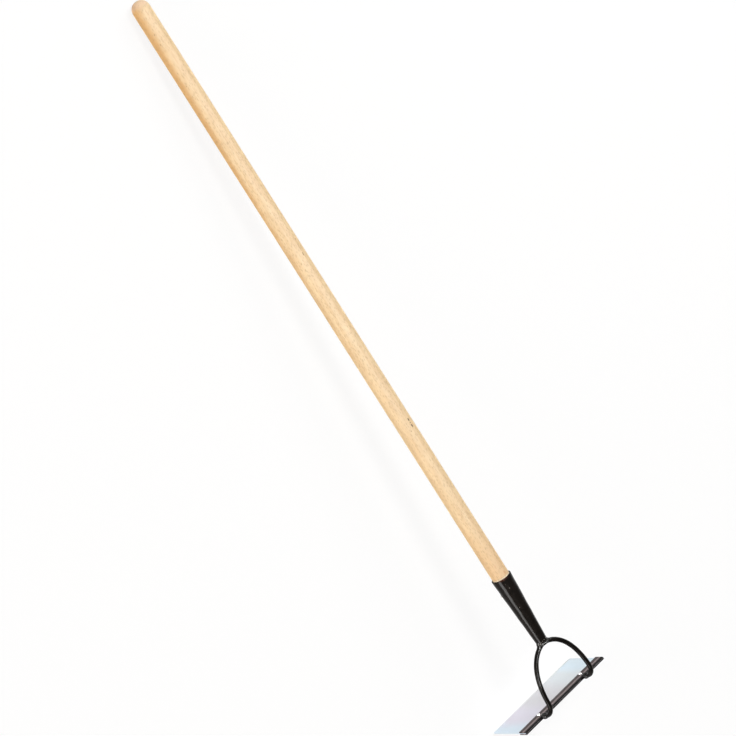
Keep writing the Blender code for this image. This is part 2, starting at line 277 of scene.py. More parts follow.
def soften_edges(work: Skin, width: float, sharper_than: float) -> None:
    """Rounds every edge that is sharper than an angle.

    Args:
        work: The skin.
        width: Width of the rounding.
        sharper_than: The angle, in degrees.
    """
    limit = math.radians(sharper_than)
    edges = [edge for edge in work.edges if edge.calc_face_angle(0.0) > limit]
    bmesh.ops.bevel(work, geom=edges, offset=width, segments=2, profile=0.5, affect="EDGES",
                    clamp_overlap=True)


def domed(radius: float, seat: float, height: float, steps: int,
          bluntness: float = 2.0) -> list[tuple[float, float]]:
    """Makes the profile of a round head.

    Args:
        radius: The head's radius.
        seat: Height of its underside.
        height: How far the middle stands above the seat.
        steps: Points from the middle to the rim, less one.
        bluntness: 2 for an ellipse, and more for a flatter top with a tighter rim.

    Returns:
        Points as (radius, height) pairs, from the middle to the rim.
    """
    power = 2 / bluntness
    points = [(0.0, seat + height)]
    for step in range(1, steps):
        angle = math.pi / 2 * step / steps
        points.append((radius * math.sin(angle) ** power, seat + height * math.cos(angle) ** power))
    return points + [(radius, seat)]


def ripple(distance: float, pitch: float) -> float:
    """Returns the height of a weld's ripples, from 0 to 1, with the crest late in each one."""
    return math.sin(math.pi * (distance / pitch % 1.0) ** 1.6)


def spaced(values: dict[str, object]) -> dict[str, object]:
    """Returns values under their names with spaces for underscores."""
    return {name.replace("_", " "): value for name, value in values.items()}


class NodeSheet:
    """Adds nodes to one node tree and joins them."""

    def __init__(self, tree: bpy.types.NodeTree) -> None:
        """Keeps the tree that the nodes go in."""
        self.tree = tree

    def put(self, target: bpy.types.NodeSocket, value: object) -> None:
        """Gives an input its value.

        Args:
            target: The input.
            value: A plain value, or the output that is linked to it.
        """
        if isinstance(value, Output):
            self.tree.links.new(value, target)
        else:
            target.default_value = (*value, 1.0) if target.type == "RGBA" else value

    def add(self, kind: str, inputs: dict[str | int, object] | None = None,
            **settings: object) -> bpy.types.Node:
        """Adds a node.

        Args:
            kind: Blender's name of the node's type.
            inputs: A plain value or another node's output for each named or numbered input.
            settings: Values of the node's own properties.

        Returns:
            The node.
        """
        node = self.tree.nodes.new(kind)
        for name, value in settings.items():
            setattr(node, name, value)
        for name, value in (inputs or {}).items():
            self.put(node.inputs[name], value)
        return node

    def math(self, operation: str, *values: object, clamp: bool = False) -> Output:
        """Returns the output of a Math node."""
        inputs = dict(enumerate(values))
        return self.add("ShaderNodeMath", inputs, operation=operation, use_clamp=clamp).outputs[0]

    def times(self, first: object, second: object) -> Output:
        """Returns the product of two values."""
        return self.math("MULTIPLY", first, second)

    def plus(self, first: object, second: object, clamp: bool = False) -> Output:
        """Returns the sum of two values."""
        return self.math("ADD", first, second, clamp=clamp)

    def minus(self, first: object, second: object) -> Output:
        """Returns the first value less the second."""
        return self.math("SUBTRACT", first, second)

    def vector(self, operation: str, *values: object) -> Output:
        """Returns the output of a Vector Math node."""
        node = self.add("ShaderNodeVectorMath", dict(enumerate(values)), operation=operation)
        return node.outputs["Value" if operation in ("LENGTH", "DOT_PRODUCT") else "Vector"]

    def noise(self, vector: object, scale: object, detail: float = 2.0,
              roughness: float = 0.5) -> Output:
        """Returns the value of a noise texture."""
        values = {"Vector": vector, "Scale": scale, "Detail": detail, "Roughness": roughness}
        return self.add("ShaderNodeTexNoise", values).outputs["Fac"]

    def step(self, value: object, low: object, high: object) -> Output:
        """Returns a smooth step from 0 at low to 1 at high."""
        values = {"Value": value, "From Min": low, "From Max": high}
        return self.add("ShaderNodeMapRange", values, interpolation_type="SMOOTHSTEP").outputs[0]

    def mix(self, mask: object, first: object, second: object) -> Output:
        """Returns the first colour where the mask is 0 and the second where it is 1."""
        return self.add("ShaderNodeMix", {0: mask, 6: first, 7: second}, data_type="RGBA").outputs[2]


class Effect(Enum):
    """The shared surface effects, each a node group."""

    GRAIN = "lengthwise_grain"
    PORES = "wood_pores"
    PEEL = "orange_peel"
    BAND = "band_mask"
    SPOT = "spot_mask"
    BRUSH = "rolling_marks"
    SMUDGE = "handling_marks"


class GroupSheet(NodeSheet):
    """A shared effect: a node group with named inputs and outputs."""

    def __init__(self, effect: Effect, **defaults: object) -> None:
        """Makes the group with its inputs, of which Vector is always one.

        Args:
            effect: The effect that the group makes.
            defaults: The other inputs, with underscores for the spaces in their names.
        """
        super().__init__(bpy.data.node_groups.new(effect.value, "ShaderNodeTree"))
        for name, value in {"Vector": (0.0, 0.0, 0.0), **spaced(defaults)}.items():
            made = self.socket(name, value)
            made.default_value = (*value, 1.0) if name in COLOUR_SOCKETS else value
        self.given = self.add("NodeGroupInput").outputs
        self.taken = self.add("NodeGroupOutput").inputs

    def socket(self, name: str, value: object,
               output: bool = False) -> bpy.types.NodeTreeInterfaceSocket:
        """Adds a socket to the group.

        Args:
            name: Its name.
            value: A value of its kind: a number, or a triple for a vector or a colour.
            output: True for an output, and False for an input.

        Returns:
            The socket.
        """
        kind = "Vector" if isinstance(value, tuple) else "Float"
        kind = "Color" if name in COLOUR_SOCKETS else kind
        way = "OUTPUT" if output else "INPUT"
        return self.tree.interface.new_socket(name=name, in_out=way, socket_type=f"NodeSocket{kind}")

    def give(self, name: str, value: Output) -> None:
        """Adds an output to the group and links a value to it."""
        self.socket(name, 0.0, output=True)
        self.tree.links.new(value, self.taken[name])

    def drawn(self, share: float) -> Output:
        """Returns the coordinates drawn out along Z, where a small share is a long stretch."""
        return self.vector("MULTIPLY", self.given["Vector"], (1.0, 1.0, share))


class EffectLibrary:
    """Builds each shared effect once and places it in materials."""

    def __init__(self) -> None:
        """Starts with no group built."""
        self.groups: dict[Effect, GroupSheet] = {}

    def place(self, sheet: NodeSheet, effect: Effect, inputs: dict[str, object]) -> bpy.types.Node:
        """Puts an effect in a material.

        Args:
            sheet: The material's nodes.
            effect: Which effect.
            inputs: Its values, by the name of the group's socket.

        Returns:
            The group's node.
        """
        if effect not in self.groups:
            self.groups[effect] = getattr(self, f"build_{effect.name.lower()}")()
        return sheet.add("ShaderNodeGroup", inputs, node_tree=self.groups[effect].tree)

    def build_grain(self) -> GroupSheet:
        """Makes growth rings round a pith beside the piece, with fibres drawn along Z.

        Returns:
            The group.
        """
        group = GroupSheet(Effect.GRAIN, Pith=(0.03, 0.01, 0.0), Ring_Spacing=0.003,
                           Pale=(0.9, 0.7, 0.45), Dark=(0.75, 0.5, 0.25), Ring_Strength=0.4,
                           Fibre_Strength=0.4, Mottle_Strength=0.3)
        given = group.given
        bend = group.times(group.noise(group.drawn(0.06), 38.0), 0.012)
        from_pith = group.vector("SUBTRACT", group.drawn(0.012), given["Pith"])
        turns = group.math("DIVIDE", group.plus(group.vector("LENGTH", from_pith), bend),
                           given["Ring Spacing"])
        rings = group.math("POWER", group.math("FRACT", turns), 2.2)
        fibres = group.step(group.noise(group.drawn(0.09), 560.0, 3.0, 0.65), 0.36, 0.70)
        mottle = group.step(group.noise(group.drawn(0.25), 75.0), 0.35, 0.68)
        shade = group.times(rings, given["Ring Strength"])
        shade = group.plus(shade, group.times(fibres, given["Fibre Strength"]))
        shade = group.plus(shade, group.times(mottle, given["Mottle Strength"]), clamp=True)
        group.give("Color", group.mix(shade, given["Pale"], given["Dark"]))
        group.give("Height", group.minus(1.0, group.times(fibres, 0.6)))
        return group

    def build_pores(self) -> GroupSheet:
        """Makes short dark dashes along Z, gathered in loose patches.

        Returns:
            The group.
        """
        group = GroupSheet(Effect.PORES, Scale=700.0, Size=0.3, Amount=0.5)
        given = group.given
        cells = group.add("ShaderNodeTexVoronoi", {"Vector": group.drawn(0.23), "Scale": given["Scale"]})
        dashes = group.minus(1.0, group.step(cells.outputs["Distance"], 0.0, given["Size"]))
        low = group.minus(1.0, given["Amount"])
        patches = group.step(group.noise(given["Vector"], 28.0), low, group.plus(low, 0.12))
        group.give("Mask", group.times(dashes, patches))
        return group

    def build_peel(self) -> GroupSheet:
        """Makes the soft unevenness of thick paint, with a few grains of dust under it.

        Returns:
            The group.
        """
        group = GroupSheet(Effect.PEEL, Scale=260.0, Grit=0.3)
        place, scale = group.given["Vector"], group.given["Scale"]
        soft = group.noise(place, scale, 1.0)
        wide = group.noise(place, group.times(scale, 0.17))
        dots = group.add("ShaderNodeTexVoronoi", {"Vector": place, "Scale": group.times(scale, 1.6)})
        grain = group.minus(1.0, group.step(dots.outputs["Distance"], 0.05, 0.28))
        chance = group.add("ShaderNodeSeparateColor", {0: dots.outputs["Color"]}).outputs[0]
        grit = group.times(group.times(grain, group.step(chance, 0.86, 0.9)), group.given["Grit"])
        group.give("Height", group.plus(group.plus(soft, group.times(wide, 1.5)), grit))
        return group

    def build_band(self) -> GroupSheet:
        """Makes a mask that rises from a start to an end along an axis, broken up by noise.

        Returns:
            The group.
        """
        group = GroupSheet(Effect.BAND, Axis=(0.0, 0.0, 1.0), Start=0.0, End=1.0, Break_Up=0.0,
                           Scale=200.0)
        given = group.given
        noise = group.minus(group.noise(given["Vector"], given["Scale"], 3.0), 0.5)
        along = group.plus(group.vector("DOT_PRODUCT", given["Vector"], given["Axis"]),
                           group.times(noise, given["Break Up"]))
        group.give("Mask", group.step(along, given["Start"], given["End"]))
        return group

    def build_spot(self) -> GroupSheet:
        """Makes a mask of one soft-edged spot, with its own size along each axis.

        Returns:
            The group.
        """
        group = GroupSheet(Effect.SPOT, Centre=(0.0, 0.0, 0.0), Radii=(0.001, 0.001, 0.001),
                           Softness=0.5, Scale=900.0)
        given = group.given
        away = group.vector("SUBTRACT", given["Vector"], given["Centre"])
        reach = group.vector("LENGTH", group.vector("DIVIDE", away, given["Radii"]))
        noise = group.minus(group.noise(given["Vector"], given["Scale"]), 0.5)
        reach = group.plus(reach, group.times(noise, 0.9))
        outside = group.step(reach, group.minus(1.0, given["Softness"]), 1.0)
        group.give("Mask", group.minus(1.0, outside))
        return group

    def build_brush(self) -> GroupSheet:
        """Makes the fine parallel marks that rolling and polishing leave on steel.

        Returns:
            The group.
        """
        group = GroupSheet(Effect.BRUSH, Stretch=(0.03, 1.0, 1.0), Scale=1800.0)
        given = group.given
        drawn = group.vector("MULTIPLY", given["Vector"], given["Stretch"])
        fine = group.noise(drawn, given["Scale"], 2.0, 0.65)
        broad = group.noise(drawn, group.times(given["Scale"], 0.12))
        group.give("Height", group.plus(fine, group.times(broad, 0.6)))
        group.give("Mask", group.step(fine, 0.35, 0.65))
        return group

    def build_smudge(self) -> GroupSheet:
        """Makes cloudy patches where hands and packing have dulled a surface.

        Returns:
            The group.
        """
        group = GroupSheet(Effect.SMUDGE, Scale=30.0, Contrast=0.5)
        cloud = group.noise(group.given["Vector"], group.given["Scale"], 4.0, 0.6)
        low = group.times(group.given["Contrast"], 0.5)
        group.give("Mask", group.step(cloud, low, group.minus(1.0, low)))
        return group


@dataclass(frozen=True)
class Spot:
    """One mark on a surface."""

    centre: Point
    radii: Point
    colour: Colour
    softness: float = 0.5
    strength: float = 1.0

    def mask(self, sheet: "MaterialSheet") -> Output:
        """Returns the spot's mask in a material."""
        return sheet.mask(Effect.SPOT, Centre=self.centre, Radii=self.radii, Softness=self.softness)


@dataclass(frozen=True)
class Band:
    """A change of colour from one place to another along an axis."""

    axis: Point
    start: float
    end: float
    colour: Colour
    break_up: float = 0.0
    scale: float = 200.0
    strength: float = 1.0

    def mask(self, sheet: "MaterialSheet") -> Output:
        """Returns the band's mask in a material."""
        return sheet.mask(Effect.BAND, Axis=self.axis, Start=self.start, End=self.end,
                          Break_Up=self.break_up, Scale=self.scale)


class MaterialSheet(NodeSheet):
    """One material: its Principled shader, and the tool's coordinates to paint by."""

    def __init__(self, name: str, effects: EffectLibrary) -> None:
        """Makes the material with only its shader and coordinates.

        Args:
            name: The material's name.
            effects: The shared effects.
        """
        self.material = bpy.data.materials.new(name)
        self.material.use_nodes = True
        super().__init__(self.material.node_tree)
        self.effects = effects
        self.shader = self.tree.nodes["Principled BSDF"]
        self.place = ToolFrame().unlay(self, self.add("ShaderNodeTexCoord").outputs["Object"])

    def effect(self, effect: Effect, **inputs: object) -> bpy.types.Node:
        """Places a shared effect at the piece's coordinates. Underscores stand for spaces."""
        return self.effects.place(self, effect, {"Vector": self.place, **spaced(inputs)})

    def mask(self, effect: Effect, **inputs: object) -> Output:
        """Places a shared effect and returns its mask."""
        return self.effect(effect, **inputs).outputs["Mask"]

    def paint(self, colour: object, marks: Sequence[Band | Spot]) -> object:
        """Lays marks over a colour, in order.

        Args:
            colour: The colour under them.
            marks: The marks.

        Returns:
            The colour with its marks.
        """
        for mark in marks:
            colour = self.mix(self.times(mark.mask(self), mark.strength), colour, mark.colour)
        return colour

    def finish(self, colour: object, roughness: Output, height: Output, depth: float,
               **plain: float) -> bpy.types.Material:
        """Feeds the shader.

        Args:
            colour: The base colour.
            roughness: The roughness.
            height: The fine relief.
            depth: How far a height of 1 stands out, in metres.
            plain: The shader's other values, with underscores for spaces.

        Returns:
            The material.
        """
        bump = self.add("ShaderNodeBump", {"Height": height, "Distance": depth, "Strength": 1.0})
        inputs = {"Base Color": colour, "Roughness": roughness, "Normal": bump.outputs["Normal"]}
        for name, value in {**inputs, **spaced(plain)}.items():
            self.put(self.shader.inputs[name], value)
        return self.material


@dataclass(frozen=True)
class WoodFinish:
    """Pale straight-grained hardwood under a thin clear varnish."""

    name: str
    pale: Colour = (0.866, 0.664, 0.402)
    dark: Colour = (0.690, 0.440, 0.215)
    pore_colour: Colour = (0.36, 0.19, 0.08)
    pore_strength: float = 0.46
    pore_depth: float = 0.8
    roughness: float = 0.46
    dulling: float = 0.12
    specular: float = 0.18
    relief: float = 0.00006
    bands: tuple[Band, ...] = ()
    spots: tuple[Spot, ...] = ()

    def build(self, effects: EffectLibrary) -> bpy.types.Material:
        """Makes the material.

        Args:
            effects: The shared effects.

        Returns:
            The material.
        """
        sheet = MaterialSheet(self.name, effects)
        grain = sheet.effect(Effect.GRAIN, Pale=self.pale, Dark=self.dark,
                             Pith=(0.021, 0.024, 0.0), Ring_Spacing=0.0034, Ring_Strength=0.24,
                             Fibre_Strength=0.30, Mottle_Strength=0.20)
        pores = sheet.mask(Effect.PORES, Scale=540.0, Size=0.48, Amount=0.74)
        smudge = sheet.mask(Effect.SMUDGE, Scale=26.0, Contrast=0.5)
        colour = sheet.paint(grain.outputs["Color"], self.bands)
        colour = sheet.mix(sheet.times(pores, self.pore_strength), colour, self.pore_colour)
        rough = sheet.plus(self.roughness, sheet.times(smudge, self.dulling))
        height = sheet.minus(grain.outputs["Height"], sheet.times(pores, self.pore_depth))
        return sheet.finish(sheet.paint(colour, self.spots), rough, height, self.relief,
                            Specular_IOR_Level=self.specular)


@dataclass(frozen=True)
class PaintFinish:
    """Black paint, sprayed thick over bare steel."""

    name: str
    colour: Colour = (0.0044, 0.0036, 0.0030)
    worn: Colour = (0.026, 0.019, 0.015)
    worn_strength: float = 0.35
    roughness: float = 0.17
    dulling: float = 0.05
    specular: float = 0.10
    peel_scale: float = 200.0
    peel_depth: float = 0.000022
    marks: tuple[Band | Spot, ...] = ()

    def build(self, effects: EffectLibrary) -> bpy.types.Material:
        """Makes the material.

        Args:
            effects: The shared effects.

        Returns:
            The material.
        """
        sheet = MaterialSheet(self.name, effects)
        peel = sheet.effect(Effect.PEEL, Scale=self.peel_scale, Grit=0.5)
        smudge = sheet.mask(Effect.SMUDGE, Scale=55.0, Contrast=0.35)
        colour = sheet.mix(sheet.times(smudge, self.worn_strength), self.colour, self.worn)
        rough = sheet.plus(self.roughness, sheet.times(smudge, self.dulling))
        return sheet.finish(sheet.paint(colour, self.marks), rough, peel.outputs["Height"],
                            self.peel_depth, Specular_IOR_Level=self.specular)


@dataclass(frozen=True)
class SteelFinish:
    """Bare steel with fine rolling marks."""

    name: str
    colour: Colour
    dull: Colour
    roughness: float
    mark_depth: float
    stretch: Point = (1.0, 1.0, 1.0)
    wear: float = 0.10
    dulling: float = 0.10
    bands: tuple[Band, ...] = ()

    def build(self, effects: EffectLibrary) -> bpy.types.Material:
        """Makes the material.

        Args:
            effects: The shared effects.

        Returns:
            The material.
        """
        sheet = MaterialSheet(self.name, effects)
        marks = sheet.effect(Effect.BRUSH, Stretch=self.stretch)
        smudge = sheet.mask(Effect.SMUDGE, Scale=45.0, Contrast=0.5)
        worn = sheet.times(marks.outputs["Mask"], self.wear)
        colour = sheet.mix(worn, sheet.paint(self.colour, self.bands), self.dull)
        rough = sheet.plus(self.roughness, sheet.times(smudge, self.dulling))
        return sheet.finish(colour, rough, marks.outputs["Height"], self.mark_depth, Metallic=1.0)


Finish = WoodFinish | PaintFinish | SteelFinish


class Workshop:
    """Turns finished skins into pieces of the hoe."""

    def __init__(self) -> None:
        """Opens a collection for the pieces."""
        self.effects = EffectLibrary()
        self.materials: dict[Finish, bpy.types.Material] = {}
        self.place = ToolFrame().matrix()
        self.collection = bpy.data.collections.new("garden_hoe")
        bpy.context.scene.collection.children.link(self.collection)

    def piece(self, name: str, skin: Skin, finish: Finish, node: str, slot: str,
              sharp: float = EASED_ANGLE) -> None:
        """Makes a piece, dresses it and lets it stand for its CAD node.

        Args:
            name: The piece's name.
            skin: Its mesh in the tool's frame, which is freed.
            finish: Its finish, built once for all pieces that share it.
            node: The CAD node that it replaces.
            slot: The record's material slot; it is not used.
            sharp: Edges sharper than this, in degrees, stay sharp.
        """
        if finish not in self.materials:
            self.materials[finish] = finish.build(self.effects)
        skin.transform(self.place)
        mesh = meshed(name, skin)
        mesh.shade_smooth()
        mesh.set_sharp_from_angle(angle=math.radians(sharp))
        mesh.materials.append(self.materials[finish])
        obj = placed(name, mesh, self.collection)
        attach(obj, BODY)
        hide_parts(node)
        LOG.info("%s: %d faces, for %s", name, len(mesh.polygons), node)


@dataclass
class Part:
    """One sub-assembly of the hoe, with the workshop that makes its pieces."""

    shop: Workshop


@dataclass
class Bow(Part):
    """The round rod that is bent into the bow, from one foot to the other."""

    rod_radius: float = 0.00425
    flat_depth: float = 0.00005
    height: float = 0.1105
    foot_spacing: float = 0.114
    bend_radius: float = 0.0255
    foot_reach: float = 0.028
    end_gap: float = 0.0001
    splay: float = math.radians(3.0)
    crown_fullness: float = 0.185
    leg_fullness: float = 0.90
    sides: int = 48
    curve_points: int = 90
    bend_steps: int = 20

    def path(self, end_reach: float) -> list[Vector]:
        """Makes the rod's centreline.

        Args:
            end_reach: How far the feet reach towards the blade.

        Returns:
            Points from the left foot's end round to the right foot's.
        """
        corner = Vector((self.foot_spacing / 2, 0, -self.height))
        leg = Vector((math.sin(self.splay), 0, -math.cos(self.splay)))
        outward = Vector((0, 1, 0))
        bend_start = corner - leg * self.bend_radius
        half = interpolate_bezier(
            Vector((0, 0, 0)),
            Vector((self.crown_fullness * self.foot_spacing / 2, 0, 0)),
            bend_start - leg * (self.leg_fullness * self.height - self.bend_radius),
            bend_start,
            self.curve_points,
        )
        centre = bend_start + outward * self.bend_radius
        for step in range(1, self.bend_steps + 1):
            angle = math.pi / 2 * step / self.bend_steps
            way = leg * math.sin(angle) - outward * math.cos(angle)
            half.append(centre + way * self.bend_radius)
        half.append(corner + outward * end_reach)
        return [Vector((-point.x, point.y, point.z)) for point in reversed(half[1:])] + half

    def rod(self, radius: float) -> Skin:
        """Returns a plain rod of a radius along the whole bow."""
        return swept(self.path(self.foot_reach), self.sides, lambda _distance, _angle: radius)

    def worked_radius(self, distance: float, angle: float) -> float:
        """Returns the rod's radius, with the slight flats that bending leaves."""
        wave = math.sin(distance * 310 + 1.7 * math.sin(distance * 83))
        return self.rod_radius - self.flat_depth * (1 - wave * math.cos(2 * angle + distance * 40))

    def build(self) -> None:
        """Makes and dresses the bow."""
        skin = swept(self.path(self.foot_reach - self.end_gap), self.sides, self.worked_radius)
        paint = PaintFinish("bow_black_paint", (0.0030, 0.0028, 0.0025), roughness=0.12,
                            specular=0.06, peel_scale=240.0, peel_depth=0.000018)
        self.shop.piece("bent_rod_bow", skin, paint, "bow", "bow_paint")


# Light grey dots along the seam between the socket's rim and its welds: painted highlights of the weld's
# ripples.
SEAM_PAINTED_GLINTS = tuple(
    Spot(centre, (0.0010, 0.0018, 0.0009), (0.42, 0.39, 0.35), 0.5, 0.9)
    for centre in ((-0.0096, -0.0058, 0.0042), (-0.0074, -0.0084, 0.0058), (-0.0045, -0.0103, 0.0071),
                   (-0.0007, -0.0112, 0.0081), (0.0049, -0.0101, 0.0086))
)


@dataclass
class Socket(Part):
    """The tapered steel tube that holds the handle, coped over the bow's rod."""

    bow: Bow
    mouth_radius: float = 0.0186
    base_radius: float = 0.0104
    wall: float = 0.002
    base_height: float = 0.0036
    mouth_height: float = 0.1413
    base_round: float = 0.0005
    dent_depth: float = 0.00009
    rod_room: float = 0.00445
    steps: int = 144
    bands: int = 40

    def share(self, height: float) -> float:
        """Returns how far up the tube a height is, from 0 at the base to 1 at the mouth."""
        return (height - self.base_height) / (self.mouth_height - self.base_height)

    def radius(self, height: float) -> float:
        """Returns the outer radius at a height."""
        return self.base_radius + (self.mouth_radius - self.base_radius) * self.share(height)

    def flare(self) -> float:
        """Returns how much the radius grows with height."""
        return (self.mouth_radius - self.base_radius) / (self.mouth_height - self.base_height)

    def dent(self, angle: float, height: float) -> float:
        """Works out how far the hand-rolled tube is from a true cone.

        Args:
            angle: Angle round the tube.
            height: Height on it.

        Returns:
            The change of radius, which fades out towards both ends.
        """
        share = self.share(height)
        fade = max(0.0, min(1.0, share * 3)) * max(0.0, min(1.0, (1 - share) * 12))
        waves = math.sin(2 * angle + 21 * share) + 0.6 * math.sin(3 * angle - 34 * share)
        return self.dent_depth * fade * waves

    def skin(self) -> Skin:
        """Makes the tube with a rounded lip, and copes its lower end over the rod.

        Returns:
            The tube's skin.
        """
        half = self.wall / 2
        low = self.base_height + self.base_round
        high = self.mouth_height - half
        heights = [low + (high - low) * band / self.bands for band in range(self.bands + 1)]
        outer = [(self.radius(height), height) for height in heights]
        profile = outer + arc((self.radius(high) - half, high), half, 15, 165, 8)
        profile += [(radius - self.wall, height) for radius, height in reversed(outer)]
        profile += arc((self.radius(low) - half, low), self.base_round, 180, 360, 4)
        tube = turned(profile, self.steps, endless=True, swell=self.dent)
        return combine(tube, self.bow.rod(self.rod_room), Boolean.CUT_OUT)

    def build(self) -> None:
        """Makes and dresses the socket."""
        rust = Band((-0.4, -0.75, 1.0), self.mouth_height + 0.0105, self.mouth_height + 0.0165,
                    (0.075, 0.022, 0.010), 0.006, 240.0, 0.8)
        chips = (
            Spot((-0.0075, -0.0157, 0.1217), (0.0010, 0.0010, 0.0016), (0.30, 0.27, 0.25), 0.6, 0.8),
            Spot((-0.0088, -0.0123, 0.0821), (0.0009, 0.0009, 0.0013), (0.26, 0.24, 0.22), 0.6, 0.7),
            Spot((-0.0105, -0.0150, 0.1310), (0.0010, 0.0010, 0.0022), (0.12, 0.10, 0.09), 0.7, 0.6),
        )
        # The seam's light grey dots in this paint are painted highlights.
        paint = PaintFinish("socket_black_paint", marks=(rust, *chips, *SEAM_PAINTED_GLINTS))
        self.shop.piece("tapered_socket", self.skin(), paint, "socket", "socket_paint")


@dataclass
class Handle(Part):
    """The round wooden handle, with a blunt rounded tip and a nose tapered to the socket."""

    socket: Socket
    radius: float = 0.016
    tip_height: float = 1.298
    end_height: float = 0.079
    tip_length: float = 0.0181
    bluntness: float = 2.33
    nose_gap: float = 0.0003
    sanded_off: float = 0.00006
    waviness: float = 0.00005
    steps: int = 128
    stretches: int = 150
    tip_steps: int = 20

    def swell(self, angle: float, height: float) -> float:
        """Returns the slight unevenness of a sanded pole at an angle and a height."""
        slow = math.sin(17 * height + 0.8) + 0.5 * math.sin(41 * height + angle)
        return self.waviness * slow * math.sin(angle + 3 * height) - self.sanded_off

    def skin(self) -> Skin:
        """Makes the handle, with a nose that fits the socket.

        Returns:
            The handle's skin.
        """
        top = self.tip_height - self.tip_length
        nose_radius = self.socket.radius(self.end_height) - self.socket.wall - self.nose_gap
        nose_start = self.end_height + (self.radius - nose_radius) / self.socket.flare()
        profile = domed(self.radius, top, self.tip_length, self.tip_steps, self.bluntness)
        for stretch in range(1, self.stretches + 1):
            profile.append((self.radius, top + (nose_start - top) * stretch / self.stretches))
        profile += [(nose_radius, self.end_height), (0.0, self.end_height)]
        return turned(profile, self.steps, swell=self.swell)

    def build(self) -> None:
        """Makes and dresses the handle. A row of marks is a place, width, length and look."""
        tip = self.tip_height
        bands = (
            # A darker orange strip down the side turned from the key light: painted shade.
            Band((-0.846, 0.533, 0.022), 0.026, 0.038, (0.690, 0.400, 0.150), 0.008, 90.0, 0.80),
            # Darker, warmer wood towards the socket: painted shade.
            Band((0.0, 0.0, -1.0), -0.30, -0.14, (0.740, 0.470, 0.240), 0.03, 22.0, 0.45),
            # A pale line where the wood enters the socket's mouth: a painted highlight.
            Band((0.0, 0.0, -1.0), -0.1438, -0.1420, (0.980, 0.850, 0.640), 0.0, 100.0, 0.8),
            Band((0.0, 0.0, 1.0), tip - 0.016, tip - 0.006, (0.870, 0.650, 0.500), 0.008, 90.0, 0.5),
            # Greyish brown over the tip's side turned from the light: painted shade.
            Band((-0.9, -0.1, 1.0), tip + 0.002, tip + 0.016, (0.400, 0.300, 0.260), 0.004, 160.0, 0.6),
        )
        dash = (0.40, 0.21, 0.10)
        dark_dash = (0.10, 0.045, 0.020)
        marks = (
            ((0.0050, -0.0152, 0.8283), 0.0011, 0.0026, dash, 0.6, 0.8),
            ((0.0024, -0.0158, 0.8131), 0.0008, 0.0100, dash, 0.7, 0.5),
            ((0.0015, -0.0159, 0.8005), 0.0013, 0.0046, dash, 0.6, 0.9),
            ((-0.0103, -0.0123, 0.7880), 0.0009, 0.0030, dash, 0.6, 0.6),
            ((-0.0095, -0.0129, 0.7757), 0.0008, 0.0044, dash, 0.7, 0.5),
            ((0.0021, -0.0159, 0.4651), 0.0015, 0.0036, dark_dash, 0.5, 0.95),
            ((0.0020, -0.0159, 0.4593), 0.0011, 0.0018, dark_dash, 0.6, 0.8),
            ((0.0020, -0.0159, 0.4532), 0.0016, 0.0036, dark_dash, 0.5, 0.95),
            ((-0.0051, -0.0152, 0.4461), 0.0011, 0.0018, dash, 0.6, 0.8),
            ((-0.0118, -0.0108, 1.2384), 0.0009, 0.0022, dash, 0.6, 0.8),
            ((-0.0119, -0.0106, 1.2195), 0.0009, 0.0022, dash, 0.6, 0.8),
            ((-0.0042, -0.0154, 1.1651), 0.0009, 0.0022, dash, 0.6, 0.7),
            ((-0.0129, -0.0095, 1.1649), 0.0009, 0.0022, dash, 0.6, 0.7),
            ((-0.0121, -0.0105, 1.1396), 0.0009, 0.0022, dash, 0.6, 0.8),
            ((0.0013, -0.0159, 0.1487), 0.0030, 0.0052, (0.66, 0.34, 0.15), 0.8, 0.7),
            ((-0.0075, -0.0141, 0.1667), 0.0016, 0.0060, (0.70, 0.40, 0.20), 0.8, 0.5),
        )
        spots = tuple(Spot(centre, (width, width, length), colour, softness, strength)
                      for centre, width, length, colour, softness, strength in marks)
        wood = WoodFinish("varnished_ash", bands=bands, spots=spots)
        self.shop.piece("wooden_handle", self.skin(), wood, "handle", "ash_wood")


@dataclass
class Nail(Part):
    """The nail through the socket's wall that keeps the handle in."""

    socket: Socket
    drop: float = 0.032
    angle: float = math.radians(147.7)
    length: float = 0.025
    radius: float = 0.0017
    point_length: float = 0.005
    head: float = 0.0037
    head_height: float = 0.0016
    seat: float = 0.0001
    rim: float = 0.0003
    dents: float = 0.00015
    steps: int = 40

    def place(self) -> Matrix:
        """Works out where the nail goes in.

        Returns:
            The frame on the socket's wall whose Z runs out of it.
        """
        height = self.socket.mouth_height - self.drop
        slope = math.atan(self.socket.flare())
        radial = Vector((math.cos(self.angle), math.sin(self.angle), 0))
        outward = radial * math.cos(slope) - Vector((0, 0, math.sin(slope)))
        side = Vector((-math.sin(self.angle), math.cos(self.angle), 0))
        place = radial * self.socket.radius(height) + Vector((0, 0, height))
        return framed(place, side, outward.cross(side), outward)

    def hammered(self, angle: float, height: float) -> float:
        """Returns the dents round the nail's head."""
        return self.dents * math.sin(5 * angle + 1) * (height > 2 * self.seat)

    def build(self) -> None:
        """Makes and dresses the nail."""
        profile = domed(self.head, self.seat, self.head_height, 10)
        profile.insert(-1, (self.head, self.seat + self.rim))
        profile += [(self.radius, self.seat), (self.radius, self.point_length - self.length),
                    (0.0, -self.length)]
        skin = turned(profile, self.steps, swell=self.hammered)
        skin.transform(self.place())
        steel = SteelFinish("nail_dull_steel", (0.66, 0.65, 0.63), (0.36, 0.34, 0.32), 0.46, 0.00003)
        self.shop.piece("handle_nail_head_and_shank", skin, steel, "handle_nail", "nail_steel")


